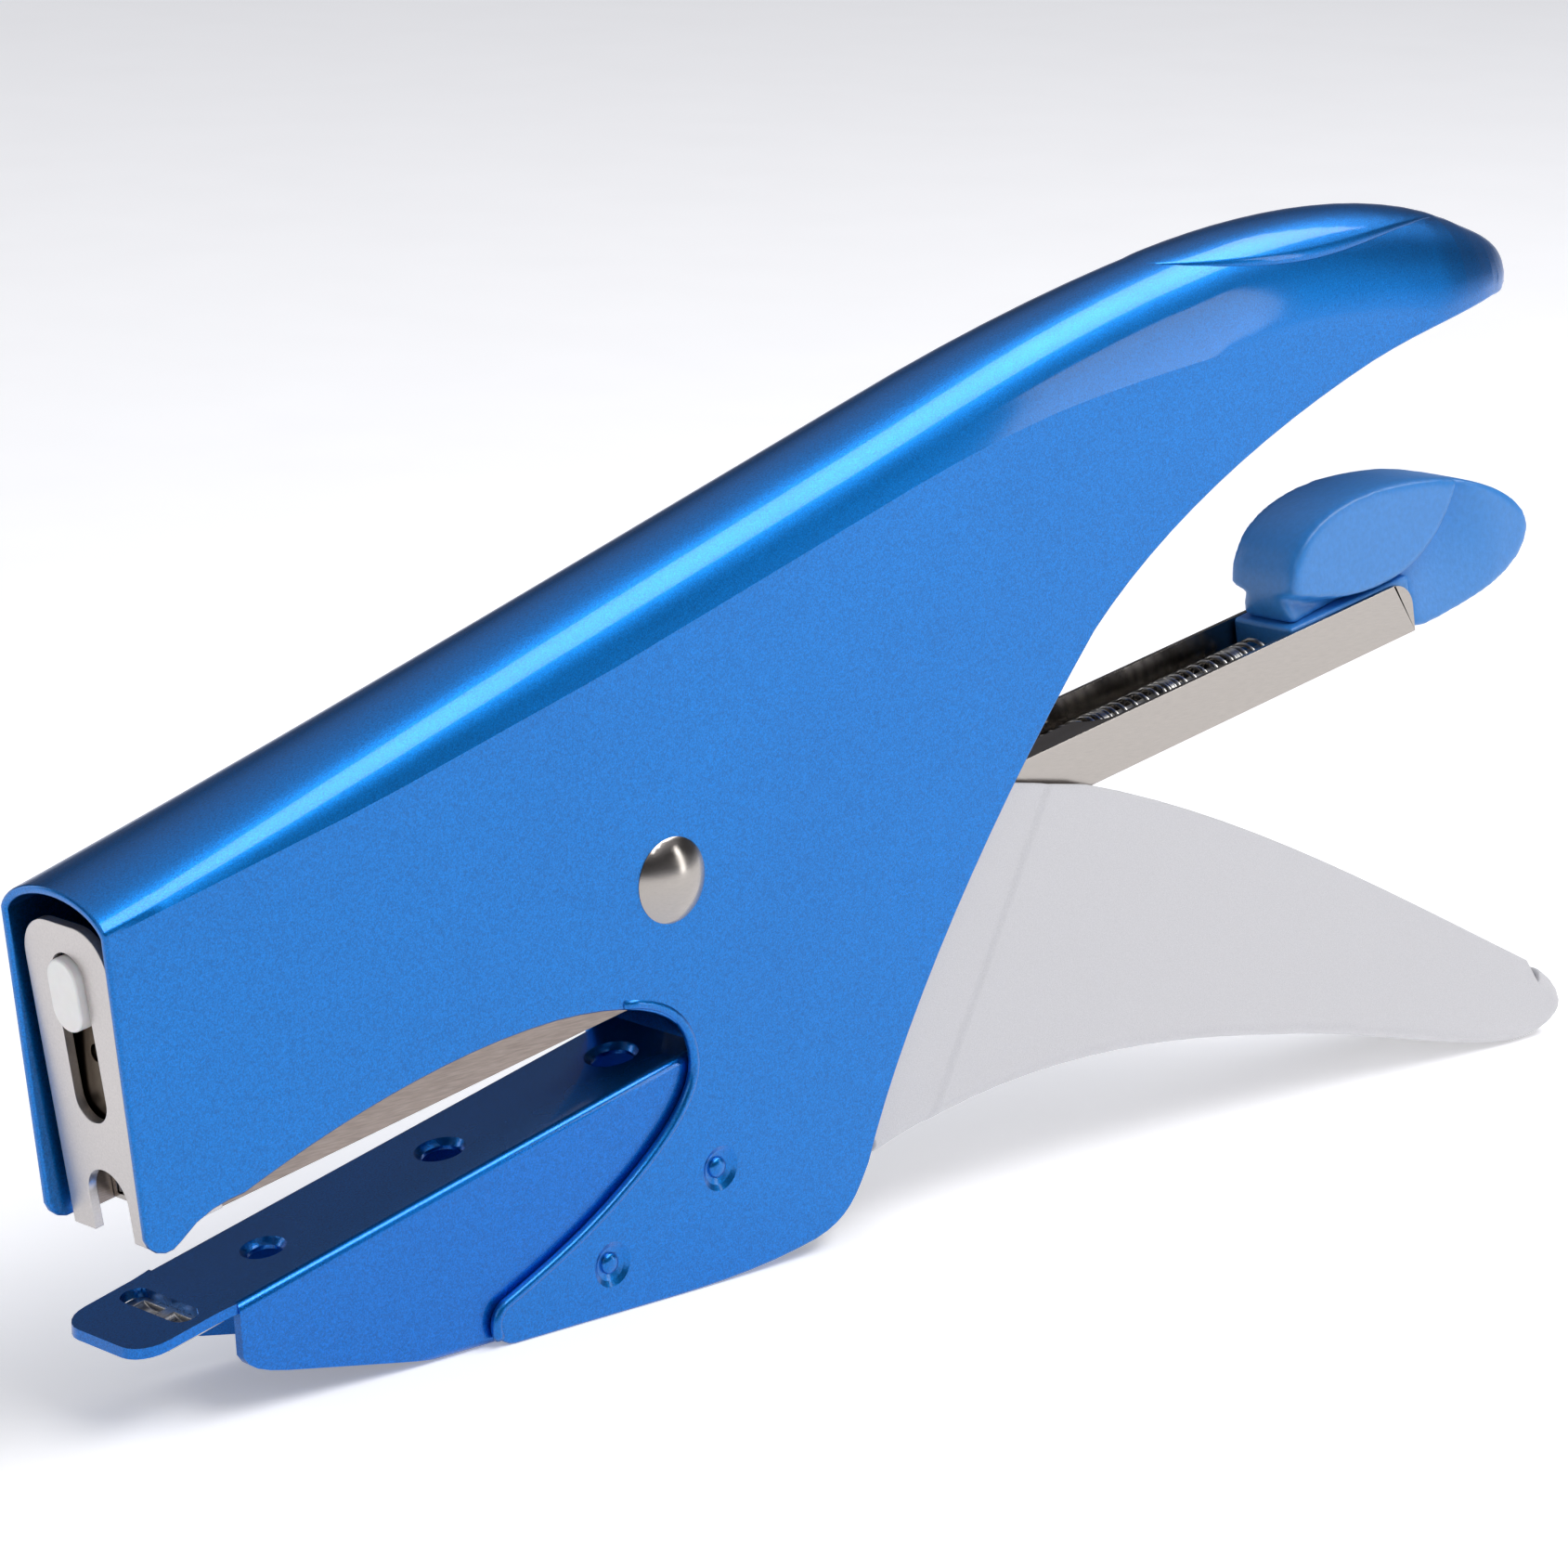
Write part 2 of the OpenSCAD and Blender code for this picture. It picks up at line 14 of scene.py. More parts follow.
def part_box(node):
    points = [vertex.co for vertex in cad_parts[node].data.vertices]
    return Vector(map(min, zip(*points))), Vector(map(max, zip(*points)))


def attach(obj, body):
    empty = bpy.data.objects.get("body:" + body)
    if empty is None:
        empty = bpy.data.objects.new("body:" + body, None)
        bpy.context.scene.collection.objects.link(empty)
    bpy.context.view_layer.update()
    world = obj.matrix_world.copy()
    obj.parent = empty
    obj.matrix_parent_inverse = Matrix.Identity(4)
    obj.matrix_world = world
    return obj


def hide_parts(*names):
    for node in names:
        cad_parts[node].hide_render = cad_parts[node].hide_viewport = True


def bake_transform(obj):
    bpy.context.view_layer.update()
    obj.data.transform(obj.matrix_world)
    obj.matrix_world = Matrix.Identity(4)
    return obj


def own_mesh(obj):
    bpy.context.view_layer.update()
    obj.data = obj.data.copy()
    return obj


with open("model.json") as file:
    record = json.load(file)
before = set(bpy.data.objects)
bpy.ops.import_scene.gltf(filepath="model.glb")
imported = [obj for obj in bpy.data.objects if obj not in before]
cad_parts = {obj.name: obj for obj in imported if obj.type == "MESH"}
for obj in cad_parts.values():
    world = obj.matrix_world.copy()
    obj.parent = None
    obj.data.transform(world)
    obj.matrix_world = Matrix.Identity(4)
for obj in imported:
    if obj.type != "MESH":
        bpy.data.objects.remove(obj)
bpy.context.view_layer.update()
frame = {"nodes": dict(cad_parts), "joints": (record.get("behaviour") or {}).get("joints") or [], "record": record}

MM = 0.001


def joint_axis(name):
    """The axis of a CAD joint."""
    return next(Vector(j["axis"]) for j in frame["joints"] if j["name"] == name)


# ---- Places taken from the frame ----

RIVET = sum(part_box("main_rivet"), Vector()) / 2
TILT = math.atan2(joint_axis("loader_slide").z, joint_axis("loader_slide").x)
SHELL_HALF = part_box("body_shell")[1].y / MM
SHELL_SHEET = 0.9
HANDLE_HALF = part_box("lower_handle")[1].y / MM
HANDLE_SHEET = 0.8
GRIP_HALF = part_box("loading_knob")[1].y / MM


def side(x, y, z):
    """A point in millimetres from the rivet, in the row frame."""
    return Vector((RIVET.x + x * MM, y * MM, RIVET.z + z * MM))


def along(u, y, w):
    """A point along and across the tilted magazine, in the row frame."""
    x = u * math.cos(TILT) - w * math.sin(TILT)
    z = u * math.sin(TILT) + w * math.cos(TILT)
    return side(x, y, z)


def from_along(co):
    """The (u, w) of a point in the row frame: the reverse of along."""
    x, z = (co.x - RIVET.x) / MM, (co.z - RIVET.z) / MM
    return x * math.cos(TILT) + z * math.sin(TILT), -x * math.sin(TILT) + z * math.cos(TILT)


def w_band(node):
    """Lowest and highest w of a CAD node, across the magazine."""
    ws = [from_along(v.co)[1] for v in frame["nodes"][node].data.vertices]
    return min(ws), max(ws)


# ---- Curves ----


def curve(p0, p1, p2, p3, n=8):
    """Points of a cubic curve, without its first point."""
    points = []
    for i in range(1, n + 1):
        t = i / n
        a, b, c, d = (1 - t) ** 3, 3 * (1 - t) ** 2 * t, 3 * (1 - t) * t * t, t ** 3
        points.append((a * p0[0] + b * p1[0] + c * p2[0] + d * p3[0],
                       a * p0[1] + b * p1[1] + c * p2[1] + d * p3[1]))
    return points


def arc(centre, r, start, end, n=6):
    """Points of an arc between two angles in degrees."""
    angles = [math.radians(start + (end - start) * i / n) for i in range(n + 1)]
    return [(centre[0] + r * math.cos(a), centre[1] + r * math.sin(a)) for a in angles]


def smooth(t):
    """0 below 0, 1 above 1, and a smooth step between."""
    t = min(max(t, 0.0), 1.0)
    return t * t * (3 - 2 * t)


def between(x, places, values):
    """A value read off a line through a few (place, value) pairs."""
    for i in range(len(places) - 1):
        if x <= places[i + 1]:
            t = (x - places[i]) / (places[i + 1] - places[i])
            return values[i] + (values[i + 1] - values[i]) * max(t, 0.0)
    return values[-1]


# ---- Mesh helpers ----

ROUND_ABOVE = 38   # degrees: sharper edges than this are rounded
SHARP_ABOVE = 40   # degrees: sharper edges than this stay crisp in the shading
FACE_WEIGHT = 80   # how far large faces rule the shading of their rims


def as_object(bm, name, material):
    """A bmesh turned into an object of the scene."""
    mesh = bpy.data.meshes.new(name)
    bm.to_mesh(mesh)
    bm.free()
    mesh.materials.append(material)
    obj = bpy.data.objects.new(name, mesh)
    bpy.context.scene.collection.objects.link(obj)
    return obj


def modify(obj, kind, **settings):
    """One modifier with its settings."""
    mod = obj.modifiers.new(kind.title(), kind)
    for key, value in settings.items():
        setattr(mod, key, value)
    return mod


def apply_modifiers(obj):
    """Swaps the mesh for what its modifiers make of it."""
    evaluated = obj.evaluated_get(bpy.context.evaluated_depsgraph_get())
    old = obj.data
    obj.data = bpy.data.meshes.new_from_object(evaluated)
    obj.data.name = obj.name
    obj.modifiers.clear()
    bpy.data.meshes.remove(old)


def finish_edges(obj, width, segments=3):
    """Rounds the sharp edges a little and evens out the shading."""
    obj.data.shade_smooth()
    modify(obj, "BEVEL", width=width * MM, segments=segments, limit_method="ANGLE",
           angle_limit=math.radians(ROUND_ABOVE), use_clamp_overlap=True)
    apply_modifiers(obj)
    obj.data.shade_smooth()
    obj.data.set_sharp_from_angle(angle=math.radians(SHARP_ABOVE))
    modify(obj, "WEIGHTED_NORMAL", keep_sharp=True, weight=FACE_WEIGHT)
    apply_modifiers(obj)


def place(obj, body, slot, *nodes):
    """Ties a finished piece to its body and hides the CAD nodes it stands for."""
    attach(obj, body)
    if nodes:
        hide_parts(*nodes)
    return obj


def cad_copy(node):
    """A clean copy of a CAD node's mesh, with whole flat faces."""
    bm = bmesh.new()
    bm.from_mesh(frame["nodes"][node].data)
    bmesh.ops.remove_doubles(bm, verts=bm.verts, dist=0.002 * MM)
    bmesh.ops.dissolve_limit(bm, angle_limit=math.radians(1), verts=bm.verts, edges=bm.edges)
    return bm


def softened(node, body, slot, material, width, bent=None, bend=0.0, segments=2):
    """A CAD node with rounded edges. Edges for which bent(edge) is true are folds of radius bend."""
    bm = cad_copy(node)
    if bent:
        folds = [e for e in bm.edges if len(e.link_faces) == 2 and bent(e)]
        bmesh.ops.bevel(bm, geom=folds, offset=bend * MM, segments=5, profile=0.5,
                        affect="EDGES", clamp_overlap=True)
    obj = as_object(bm, node + "_shape", material)
    finish_edges(obj, width, segments)
    return place(obj, body, slot, node)


def long_outer_edge(half, length):
    """True for edges at the outer faces across the width that are at least so long."""
    def test(edge):
        at_side = all(abs(abs(v.co.y) - half * MM) < 0.03 * MM for v in edge.verts)
        folded = edge.calc_face_angle(0.0) > math.radians(60)
        return at_side and folded and edge.calc_length() > length * MM
    return test


def face_outward(bm, probe):
    """Makes the normals agree, pointing to +Y where probe(face) is true."""
    bmesh.ops.recalc_face_normals(bm, faces=bm.faces)
    face = next(f for f in bm.faces if probe(f))
    if face.normal.y < 0:
        bmesh.ops.reverse_faces(bm, faces=bm.faces)


# ---- Materials ----


def linear(*rgb):
    """A display colour from 0 to 255 as a linear colour."""
    def channel(display):
        share = display / 255
        return share / 12.92 if share <= 0.04045 else ((share + 0.055) / 1.055) ** 2.4
    return tuple(channel(value) for value in rgb) + (1.0,)


def tinted(color, factor):
    """A colour made lighter or darker."""
    return tuple(min(c * factor, 1.0) for c in color[:3]) + (1.0,)


def noise_map(tree, scale, detail, low, high, stretch=(1, 1, 1)):
    """A noise field in object space, spread over a range of values."""
    nodes = tree.nodes
    coords = nodes.new("ShaderNodeTexCoord")
    mapping = nodes.new("ShaderNodeMapping")
    mapping.inputs["Scale"].default_value = stretch
    noise = nodes.new("ShaderNodeTexNoise")
    noise.inputs["Scale"].default_value = scale
    noise.inputs["Detail"].default_value = detail
    spread = nodes.new("ShaderNodeMapRange")
    spread.inputs["From Min"].default_value = 0.3
    spread.inputs["From Max"].default_value = 0.7
    spread.inputs["To Min"].default_value = low
    spread.inputs["To Max"].default_value = high
    tree.links.new(coords.outputs["Object"], mapping.inputs["Vector"])
    tree.links.new(mapping.outputs["Vector"], noise.inputs["Vector"])
    tree.links.new(noise.outputs["Fac"], spread.inputs["Value"])
    return spread.outputs["Result"]


def surface(name, color, roughness, metallic=0.0, grain=600, variation=0.15, rough_spread=0.06,
            bump=0.02, stretch=(1, 1, 1), **extra):
    """A procedural surface: colour and roughness vary with a fine grain that is also a low bump."""
    mat = bpy.data.materials.new(name)
    mat.use_nodes = True
    tree = mat.node_tree
    shader = tree.nodes["Principled BSDF"]
    shader.inputs["Metallic"].default_value = metallic
    for key, value in extra.items():
        shader.inputs[key.replace("_", " ")].default_value = value
    mix = tree.nodes.new("ShaderNodeMix")
    mix.data_type = "RGBA"
    mix.inputs["A"].default_value = tinted(color, 1 - variation)
    mix.inputs["B"].default_value = tinted(color, 1 + variation)
    tree.links.new(noise_map(tree, grain, 3, 0, 1, stretch), mix.inputs["Factor"])
    tree.links.new(mix.outputs["Result"], shader.inputs["Base Color"])
    low, high = max(roughness - rough_spread, 0.02), roughness + rough_spread
    tree.links.new(noise_map(tree, 40, 4, low, high, stretch), shader.inputs["Roughness"])
    height = tree.nodes.new("ShaderNodeBump")
    height.inputs["Strength"].default_value = bump
    height.inputs["Distance"].default_value = 0.1 * MM
    tree.links.new(noise_map(tree, grain * 1.6, 2, 0, 1, stretch), height.inputs["Height"])
    tree.links.new(height.outputs["Normal"], shader.inputs["Normal"])
    return mat


def make_materials():
    """Every finish of the object, by its name."""
    brushed = (1, 14, 14)
    return {
        "blue_paint": surface("blue_paint", linear(2, 110, 190), 0.32, 0.9, grain=6500,
                              variation=0.3, bump=0.12, Coat_Weight=0.5, Coat_Roughness=0.08),
        "jaw_paint": surface("jaw_paint", linear(2, 104, 188), 0.26, 0.9, grain=6500,
                             variation=0.3, bump=0.12, Coat_Weight=0.5, Coat_Roughness=0.05),
        "steel": surface("steel", linear(196, 194, 190), 0.3, 1.0, stretch=brushed),
        "nickel": surface("nickel", linear(172, 166, 160), 0.2, 1.0, grain=700, variation=0.05,
                          rough_spread=0.04, stretch=brushed),
        "spring_wire": surface("spring_wire", linear(168, 166, 162), 0.28, 1.0),
        "handle_grey": surface("handle_grey", linear(204, 203, 205), 0.5, 0.0, grain=7500,
                               variation=0.07, bump=0.25, Specular_IOR_Level=0.45),
        # inner_frame is the nickel tone made darker and browner: a painted dark reflection, used on the holder,
        # bridge and driver arm
        "inner_frame": surface("inner_frame", linear(150, 138, 130), 0.34, 0.85, stretch=brushed),
        "nose": surface("nose", linear(206, 201, 198), 0.34, 0.85, grain=5200, variation=0.06,
                        bump=0.04),
        "dark_steel": surface("dark_steel", linear(84, 74, 62), 0.26, 1.0, stretch=(14, 14, 1)),
        "staples": surface("staples", linear(176, 176, 178), 0.3, 1.0),
        "nylon": surface("nylon", linear(244, 243, 240), 0.42, 0.0, grain=900, variation=0.02,
                         Subsurface_Weight=0.15, Subsurface_Scale=0.001),
        "grip_blue": surface("grip_blue", linear(52, 130, 204), 0.36, 0.0, grain=1800,
                             variation=0.07, bump=0.12, Coat_Weight=0.15, Coat_Roughness=0.3),
        "floor": surface("floor", linear(246, 246, 248), 0.8, 0.0, grain=30, variation=0.01,
                         Emission_Color=(1, 1, 1, 1), Emission_Strength=0.3),
    }


# ---- Body shell ----

HOOD_TIP_X = 127.6     # the rearmost point
HOOD_TIP_Z = 46.3
HOOD_END_X = 121.0     # where the rounded rear end starts in the side view
HOOD_END_TOP = 50.5
HOOD_END_LOW = 43.4
ROUND_PLAN_X = 108.0   # where the width starts to narrow
REAR_LOW_X = 99.4      # the last corner of the lower outline before the rear end
REAR_LOW_Z = 38.8
REAR_FOLD_SHARE = 0.85   # how much of the rear end's height the rounded top takes
END_SHARES = (0.2, 0.4, 0.6, 0.75, 0.87, 0.95)   # stations through the rear end
FRONT_LEAN = 0.137
FOLD_PLACES = [-66.5, -36, -8, 35, 51, 73, 100]
FOLD_DROPS = [3.1, 5.7, 7.0, 7.4, 8.3, 10.4, 11.0]

CROWN = ([(-66.5 + 105.5 * i / 16, 9.3 + 34.2 * i / 16) for i in range(17)]
         + curve((39, 43.5), (52, 47.6), (63, 50.2), (73.5, 52.2), 6)
         + curve((73.5, 52.2), (89, 55.1), (108, 55.9), (HOOD_END_X, HOOD_END_TOP), 14))

UNDER = (arc((-60.1, -21.3), 2.3, 175, 315)
         + curve((-58.5, -22.9), (-56, -20.6), (-53.5, -20.2), (-51.3, -19.9), 4)
         + curve((-51.3, -19.9), (-42, -16.2), (-28, -11.6), (-14.4, -11.1), 12)
         + curve((-14.4, -11.1), (-4, -10.9), (2.6, -13.2), (3.2, -18.5), 10)
         + curve((3.2, -18.5), (3.4, -23), (-3.5, -28), (-8.7, -31.3), 10)
         + curve((-8.7, -31.3), (-12.5, -33.7), (-16.5, -35.5), (-20, -37.1), 4)
         + arc((-19.6, -39.3), 2.2, 120, 270, 8)
         + [(0, -41.5)]
         + curve((0, -41.5), (8, -41.5), (14, -41), (19.4, -39.9), 6)
         + curve((19.4, -39.9), (24, -38.8), (25, -36.5), (26.6, -33.5), 8)
         + curve((26.6, -33.5), (31, -20), (43, -1), (57.7, 15.9), 14)
         + curve((57.7, 15.9), (67, 25), (82, 33), (REAR_LOW_X, REAR_LOW_Z), 12)
         + curve((REAR_LOW_X, REAR_LOW_Z), (108, 41.5), (115, 42.6), (HOOD_END_X, HOOD_END_LOW), 8))

STUDS = [(6.4, -29.8), (-7.5, -36.4)]


def hood_half(x):
    """Half the shell's width, which narrows to nothing at the rounded rear end."""
    if x <= ROUND_PLAN_X:
        return SHELL_HALF
    t = min((x - ROUND_PLAN_X) / (HOOD_TIP_X - ROUND_PLAN_X), 1.0)
    return SHELL_HALF * math.sqrt(1 - t * t)


def hood_stations():
    """Crown height and fold drop at places along the hood, as (x, crown, drop)."""
    low_slope = (HOOD_END_LOW - REAR_LOW_Z) / (HOOD_END_X - REAR_LOW_X)
    found = []
    for x, crown in CROWN:
        drop = between(x, FOLD_PLACES, FOLD_DROPS)
        if x > 99:
            low = REAR_LOW_Z + (x - REAR_LOW_X) * low_slope
            drop = min(drop, REAR_FOLD_SHARE * (crown - low))
        found.append((x, crown, drop))
    for q in END_SHARES + (1.0,):
        top, low = hood_end_heights(q)
        found.append((hood_end_x(q), top, REAR_FOLD_SHARE * (top - low)))
    return found


def hood_end_x(q):
    """How far back the rounded rear end has come, for q from 0 to 1."""
    return HOOD_END_X + (HOOD_TIP_X - HOOD_END_X) * q


def hood_end_heights(q):
    """Upper and lower edge of the rounded rear end, for q from 0 to 1."""
    top = HOOD_TIP_Z + (HOOD_END_TOP - HOOD_TIP_Z) * math.sqrt(1 - q)
    low = HOOD_TIP_Z - (HOOD_TIP_Z - HOOD_END_LOW) * math.sqrt(1 - q ** 3)
    return top, low


def hood_end_angle(x):
    """How far round the hood's cross-section goes before the flat side, in radians."""
    return math.radians(75 + 14 * smooth((x - 45) / 45))


def hood_section(x, crown, drop, across):
    """A point of the rounded top, for across from -1 to 1."""
    end = hood_end_angle(x)
    a = end * across
    y = hood_half(x) * math.sin(a) / math.sin(end)
    fall = drop * (1 - math.cos(a)) / (1 - math.cos(end))
    return x + FRONT_LEAN * fall * (1 - smooth((x + 66) / 60)), y, crown - fall


def shell_surface():
    """The outer surface of the shell: the rounded top and two flat walls."""
    bm = bmesh.new()
    steps = 20
    rows = []
    for x, crown, drop in hood_stations():
        rows.append([bm.verts.new(side(*hood_section(x, crown, drop, 2 * k / steps - 1)))
                     for k in range(steps + 1)])
    for a, b in zip(rows, rows[1:]):
        for k in range(steps):
            bm.faces.new((a[k], a[k + 1], b[k + 1], b[k]))
    tip = [(hood_end_x(q), hood_end_heights(q)[1]) for q in END_SHARES]
    for sign, k in ((-1, 0), (1, steps)):
        lower = [bm.verts.new(side(x, sign * hood_half(x), z)) for x, z in UNDER + tip]
        bm.faces.new(lower + [row[k] for row in reversed(rows)])
    cut_rear_walls(bm)
    bmesh.ops.remove_doubles(bm, verts=bm.verts, dist=0.02 * MM)
    bmesh.ops.dissolve_degenerate(bm, edges=bm.edges, dist=0.01 * MM)
    face_outward(bm, lambda f: f.calc_area() > 1e-3 and f.calc_center_median().y > 0)
    mark_fold(bm, rows)
    return bm


def cut_rear_walls(bm):
    """Adds columns of vertices where the walls curve towards the rear end."""
    wall_top = side(0, 0, 45.5).z
    x = ROUND_PLAN_X
    while x < HOOD_TIP_X - 0.6:
        cut = bmesh.ops.bisect_plane(bm, geom=bm.verts[:] + bm.edges[:] + bm.faces[:],
                                     plane_co=side(x, 0, 0), plane_no=(1, 0, 0), dist=1e-6)
        for v in (g for g in cut["geom_cut"] if isinstance(g, bmesh.types.BMVert)):
            if v.co.z < wall_top and not v.is_boundary and abs(v.co.y) > 0.1 * MM:
                v.co.y = math.copysign(hood_half(x) * MM, v.co.y)
        x += 1.3 + 0.06 * (HOOD_TIP_X - x)


def mark_fold(bm, rows):
    """The fold between top and side is crisp at the front and fades towards the handle."""
    fold_end = side(75, 0, 0).x
    for row in rows:
        for v in (row[0], row[-1]):
            if not v.is_valid or v.co.x >= fold_end:
                continue
            for e in v.link_edges:
                run = e.verts[0].co - e.verts[1].co
                lengthwise = abs(run.x) > 1.0 * MM and abs(run.y) < 0.01 * MM
                if lengthwise and len(e.link_faces) == 2:
                    e.smooth = False


def stud_cutters():
    """Shallow dishes to be pressed into the walls around the two studs."""
    bm = bmesh.new()
    profile = [(0.0, 0.5), (1.0, 0.5), (1.7, 0.3), (2.25, 0.0), (2.35, -0.3), (0.0, -0.3)]
    for x, z in STUDS:
        for sign in (-1, 1):
            spin_profile(bm, profile, side(x, 0, z), sign)
    bmesh.ops.recalc_face_normals(bm, faces=bm.faces)
    return bm


def spin_profile(bm, profile, centre, sign, turns=40):
    """Spins (radius, depth) around a line across the width, depth measured in from the wall."""
    rings = []
    for r, depth in profile:
        y = sign * (SHELL_HALF - depth) * MM
        if r == 0:
            rings.append([bm.verts.new((centre.x, y, centre.z))])
            continue
        rings.append([bm.verts.new((centre.x + r * MM * math.cos(2 * math.pi * i / turns), y,
                                    centre.z + r * MM * math.sin(2 * math.pi * i / turns)))
                      for i in range(turns)])
    for a, b in zip(rings, rings[1:]):
        for i in range(turns):
            j = (i + 1) % turns
            quad = [a[i % len(a)], a[j % len(a)], b[j % len(b)], b[i % len(b)]]
            unique = list(dict.fromkeys(quad))
            if len(unique) > 2:
                bm.faces.new(unique)


def make_shell(mats):
    """The blue sheet-metal shell with its rounded top, rims and dished stud places."""
    obj = as_object(shell_surface(), "shell", mats["blue_paint"])
    obj.data.shade_smooth()
    modify(obj, "SOLIDIFY", thickness=SHELL_SHEET * MM, offset=-1, use_even_offset=True,
           use_quality_normals=True)
    modify(obj, "BEVEL", width=0.3 * MM, segments=3, limit_method="ANGLE",
           angle_limit=math.radians(55), use_clamp_overlap=False)
    apply_modifiers(obj)
    cutter = as_object(stud_cutters(), "stud_cutter", mats["blue_paint"])
    modify(obj, "BOOLEAN", object=cutter, operation="DIFFERENCE", solver="EXACT")
    apply_modifiers(obj)
    bpy.data.objects.remove(cutter)
    modify(obj, "WEIGHTED_NORMAL", keep_sharp=True, weight=FACE_WEIGHT)
    apply_modifiers(obj)
    place(obj, "root", "blue_paint", "body_shell")


def make_stud_heads(mats):
    """The low round heads in the middle of the dished places."""
    bm = bmesh.new()
    profile = [(0.0, 0.02), (0.5, 0.06), (0.9, 0.2), (1.1, 0.5), (1.1, 1.0), (0.0, 1.0)]
    for x, z in STUDS:
        for sign in (-1, 1):
            spin_profile(bm, profile, side(x, 0, z), sign, 32)
    bmesh.ops.recalc_face_normals(bm, faces=bm.faces)
    obj = as_object(bm, "stud_heads", mats["blue_paint"])
    obj.data.shade_smooth()
    place(obj, "root", "blue_paint", "clinch_studs")


def make_throat_bead(mats):
    """The rounded bead along the shell's edge where it laps over the lower jaw."""
    path = (curve((-8, -10.95), (-1, -11.2), (2.8, -13.6), (3.2, -18.5), 10)
            + curve((3.2, -18.5), (3.4, -23), (-3.5, -28), (-8.7, -31.3), 12)
            + curve((-8.7, -31.3), (-12.5, -33.7), (-16.5, -35.5), (-20, -37.1), 6)
            + arc((-19.6, -39.3), 2.2, 120, 215, 8))
    for name, sign in (("throat_bead_near", -1), ("throat_bead_far", 1)):
        points = [side(x, sign * (SHELL_HALF - 0.32), z) for x, z in path]
        place(wire_tube(points, 0.55, name, mats["blue_paint"], 14), "root", "blue_paint")


def make_thumb_pad(mats):
    """The long leaf-shaped pad on top of the handle."""
    first, last = 69.0, 118.5
    widest, raised = 6.1, 0.12
    along_steps, across_steps = 48, 18
    xs, crowns, drops = zip(*hood_stations())
    bm = bmesh.new()
    rows = []
    for i in range(along_steps + 1):
        t = 0.01 + 0.98 * i / along_steps
        x = first + (last - first) * t
        crown = between(x, xs, crowns)
        drop = between(x, xs, drops)
        end = hood_end_angle(x)
        half = widest * math.sin(math.pi * t ** 0.85) ** 0.6 * hood_half(x) / SHELL_HALF
        row = []
        for k in range(across_steps + 1):
            across = 2 * k / across_steps - 1
            a = math.asin(min(abs(across) * half / hood_half(x) * math.sin(end), 1.0))
            fall = drop * (1 - math.cos(a)) / (1 - math.cos(end))
            lift = raised * (1 - abs(across) ** 8) * smooth(min(t, 1 - t) * 12)
            row.append(bm.verts.new(side(x, across * half, crown - fall * 0.94 + lift - 0.06)))
        rows.append(row)
    for a, b in zip(rows, rows[1:]):
        for k in range(across_steps):
            bm.faces.new((a[k], a[k + 1], b[k + 1], b[k]))
    bmesh.ops.recalc_face_normals(bm, faces=bm.faces)
    obj = as_object(bm, "thumb_pad", mats["blue_paint"])
    modify(obj, "SOLIDIFY", thickness=0.4 * MM, offset=-1)
    apply_modifiers(obj)
    obj.data.shade_smooth()
    place(obj, "root", "blue_paint")


# ---- Lower handle ----

HANDLE_BEND = 1.7
JOGGLE_START = (35.4, -31.7)
JOGGLE_END = (51.8, 0.6)
JOGGLE_STEP = 0.27
JOGGLE_WIDTH = 1.2

HANDLE_TOP = (curve((0, 7.5), (16, 8), (36, 3.4), (58.1, -0.3), 12)
              + curve((58.1, -0.3), (82, -7), (108, -21), (130, -32), 14))
HANDLE_PATH = ([(28.9, -33.6)]
               + curve((28.9, -33.6), (50, -27.2), (72, -29.8), (88, -32.8), 14)
               + curve((88, -32.8), (104, -35.2), (116, -39.8), (128.4, -41.4), 10)
               + curve((128.4, -41.4), (137.7, -41.7), (140.7, -37), (130.6, -32.3), 10)[:-1])
HANDLE_FRONT = ([(27.5, -31)]
                + arc((0, 0), 6.2, -50, -240, 14))


def path_normals(path):
    """The direction to the left of each point of a path."""
    found = []
    for i in range(len(path)):
        a = path[max(i - 1, 0)]
        b = path[min(i + 1, len(path) - 1)]
        d = Vector((b[0] - a[0], b[1] - a[1])).normalized()
        found.append((-d.y, d.x))
    return found


def handle_surface():
    """The outer surface of the U-shaped handle: two walls and the rounded underside."""
    bm = bmesh.new()
    bend_steps = 5
    normals = path_normals(HANDLE_PATH)
    section = []
    for i in range(bend_steps + 1):
        a = math.pi / 2 * i / bend_steps
        section.append((HANDLE_HALF - HANDLE_BEND * (1 - math.cos(a)), HANDLE_BEND * (1 - math.sin(a))))
    section += [(-y, inset) for y, inset in reversed(section)]
    rows = []
    for (x, z), (nx, nz) in zip(HANDLE_PATH, normals):
        rows.append([bm.verts.new(side(x + nx * inset, y, z + nz * inset)) for y, inset in section])
    for a, b in zip(rows, rows[1:]):
        for k in range(len(section) - 1):
            bm.faces.new((a[k], a[k + 1], b[k + 1], b[k]))
    upper = list(reversed(HANDLE_TOP)) + list(reversed(HANDLE_FRONT[1:])) + HANDLE_FRONT[:1]
    for sign, k in ((1, 0), (-1, len(section) - 1)):
        top = [bm.verts.new(side(x, sign * HANDLE_HALF, z)) for x, z in upper]
        bm.faces.new([row[k] for row in rows] + top)
    add_joggle(bm)
    face_outward(bm, lambda f: f.calc_area() > 3e-4 and f.calc_center_median().y > 3 * MM)
    return bm


